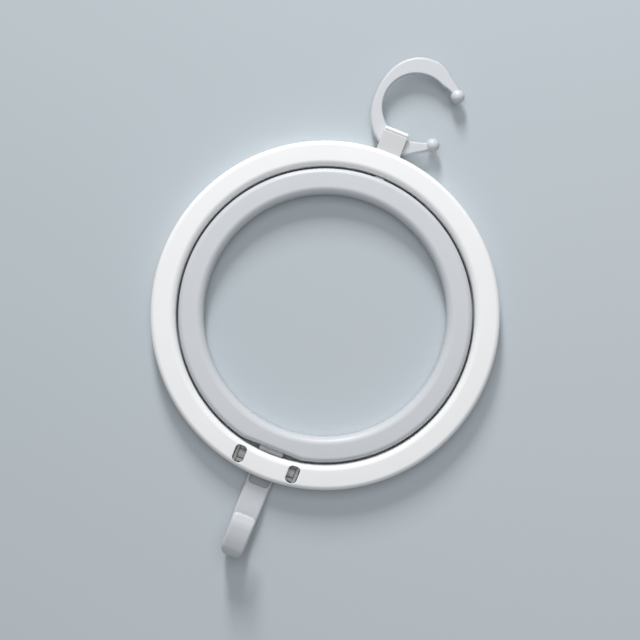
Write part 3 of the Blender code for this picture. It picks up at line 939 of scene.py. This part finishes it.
# %% Strap's roundings and pocket
tip_rounding, edge_rounding, long_edge = 0.0028, 0.0016, math.radians(50)
pocket_half, pocket_depth, pocket_corner = 0.0063, 0.0024, 0.0024
pocket_foot, pocket_head = -ring_radius - 0.0052, -ring_radius + 0.0032
tip_height = at(0, 0, tip_up).z
begin(strap)
found = pick(
    strap,
    "EDGE",
    lambda edge: min(corner.co.z for corner in edge.verts) > tip_height - hair
    and max(corner.co.y for corner in edge.verts) < ring_centre.y - 0.004
    and runs_back(edge),
)
bevel(tip_rounding, 8)
pick(strap, "EDGE", lambda edge: len(edge.link_faces) == 2 and edge.calc_face_angle() > long_edge)
bevel(edge_rounding, 6)
finish_edit()
pocket = slab(
    "pocket",
    at(-pocket_half, strap_front - overrun, pocket_foot),
    at(pocket_half, strap_front + pocket_depth, pocket_head),
)
begin(pocket)
pick(pocket, "EDGE", runs_back)
bevel(pocket_corner, 8)
finish_edit()
cut(strap, pocket)
print("strap with", found, "tip corners and", len(strap.data.polygons), "faces")

# %% [markdown]
# ## Barrel and neck of the strap hook
#
# A narrower neck carries the strap up to a barrel that turns on the pin between the grey ring's
# knuckles. Both could be extruded from the strap, but a block and a bar united with it keep their
# roundness.

# %% Barrel and neck
barrel_half, neck_foot = 0.0031, 0.0018
barrel_line = (at(-barrel_half, pin_depth, -pin_drop), at(barrel_half, pin_depth, -pin_drop))
add(
    strap,
    slab(
        "neck",
        at(-barrel_half + gap, strap_front + gap, strap_top - neck_foot),
        at(barrel_half - gap, strap_front + strap_thick - gap, -pin_drop),
    ),
    bar("barrel", *barrel_line, knuckle_radius),
)
cut(strap, bar("bore", barrel_line[0] - reach_past, barrel_line[1] + reach_past, pin_bore))
dress(strap, grey_plastic, "strap_hook", "j_hook")

# %% [markdown]
# ## C-hook
#
# The C-hook is a flat band bent to more than three quarters of a circle. It is slim at the back,
# broad at the shoulders and slim again at the necks, where it opens out a little before its ball
# ends. Its sizes are worked out from one number, the turn: how many degrees a place is away from
# the back, less than 0 on the side of the upper ball and more on the side of the lower one.

# %% C-hook's sizes
bore_radius, ball_radius = 0.0195, 0.004
slim_band, broad_band, neck_band = 0.0053, 0.0097, 0.0046
broad_at, slimming_from, flare_from, ball_at = 75, 85, 110, 139
upper_flare, lower_flare = 0.0027, 0.0015
back_angle, ball_angle = math.radians(176), math.radians(ball_at)
c_centre = Vector((0, 0, -bore_radius))


def c_radii(turn):
    """Radii of the C-hook's inside and outside at a turn."""
    away = abs(math.degrees(turn))
    flare = upper_flare if turn < 0 else lower_flare
    band = slim_band + (broad_band - slim_band) * swell(away / broad_at)
    band += (neck_band - band) * swell((away - slimming_from) / (ball_at - slimming_from))
    inside = bore_radius + flare * swell((away - flare_from) / (ball_at - flare_from))
    return inside, inside + band


def c_place(turn, radius):
    """A place on the C-hook's middle plane, by its turn and its radius."""
    angle = back_angle + turn
    return c_centre + radius * Vector((math.cos(angle), 0, math.sin(angle)))


def turn_at(place):
    """The turn of a place."""
    angle = math.atan2(place.z, place.x) % math.tau
    return (angle - back_angle + math.pi) % math.tau - math.pi


inside, outside = c_radii(ball_angle)
middle = (inside + outside) / 2
print("at its ends the band reaches from", round(1000 * inside, 1), "to", round(1000 * outside, 1), "mm")

# %% [markdown]
# A filled curve could give the band's outline, but not easily rows that can be rounded evenly. So
# the band is spun from one end face, and then each of its rows is moved out or in to its radii.

# %% C-hook's band
start = c_centre + Vector((middle, 0, 0))
first_turn = back_angle + ball_angle - math.tau
bpy.ops.object.select_all(action="DESELECT")
bpy.ops.mesh.primitive_plane_add(size=1, location=start)
c_hook = bpy.context.object
begin(c_hook)
bpy.ops.mesh.select_all(action="SELECT")
bpy.ops.transform.resize(value=(outside - inside, c_thick, 1), center_override=start)
bpy.ops.transform.rotate(value=first_turn, orient_axis="Y", center_override=c_centre)
finish_edit()
c_hook = settled("c_hook_band")
corners = [corner.co - c_centre for corner in c_hook.data.vertices]
first_angle = max(math.atan2(place.z, place.x) for place in corners)
print("first row stands at", round(math.degrees(first_angle), 1), "degrees")
begin(c_hook)
bpy.ops.mesh.select_all(action="SELECT")
bpy.ops.mesh.spin(steps=96, angle=-2 * ball_angle, center=c_centre, axis=(0, 1, 0))
mesh = bmesh.from_edit_mesh(c_hook.data)
for corner in mesh.verts:
    place = corner.co - c_centre
    radius = math.hypot(place.x, place.z)
    wanted = c_radii(turn_at(place))[1 if radius > middle else 0]
    corner.co = c_centre + Vector((place.x * wanted / radius, place.y, place.z * wanted / radius))
bmesh.update_edit_mesh(c_hook.data)
finish_edit()
face_outwards(c_hook)
print("band with", len(c_hook.data.polygons), "faces")

# %% [markdown]
# The band's long edges are rounded, those outside a little more. A ball at each end lets the hook
# snap over a rod without scratching it. The balls could be spun from the band's ends, but a sphere
# that is united with each end is rounder.

# %% C-hook's roundings and balls
outer_rounding, inner_rounding = 0.0015, 0.0011


def on_outside(edge):
    """Whether an edge lies on the outer half of the band."""
    place = (edge.verts[0].co + edge.verts[1].co) / 2 - c_centre
    return math.hypot(place.x, place.z) > sum(c_radii(turn_at(place))) / 2


begin(c_hook)
for outer, width in ((True, outer_rounding), (False, inner_rounding)):
    pick(
        c_hook,
        "EDGE",
        lambda edge: sharp(edge)
        and abs(edge.verts[0].co.y - edge.verts[1].co.y) < hair
        and abs(turn_at((edge.verts[0].co + edge.verts[1].co) / 2 - c_centre)) < ball_angle - 0.001
        and on_outside(edge) == outer,
    )
    bevel(width, 6)
finish_edit()
for side in (-1, 1):
    bpy.ops.object.select_all(action="DESELECT")
    bpy.ops.mesh.primitive_uv_sphere_add(
        segments=48,
        ring_count=24,
        radius=ball_radius,
        location=c_place(side * ball_angle, sum(c_radii(side * ball_angle)) / 2),
    )
    add(c_hook, settled("ball"))
dress(c_hook, grey_plastic, "rod_hook", "c_hook")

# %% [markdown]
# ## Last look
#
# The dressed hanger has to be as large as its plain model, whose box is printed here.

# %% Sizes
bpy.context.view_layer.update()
plain = json.loads(json.dumps([[float(number) for number in row] for row in cad_box]))
print("plain", plain)
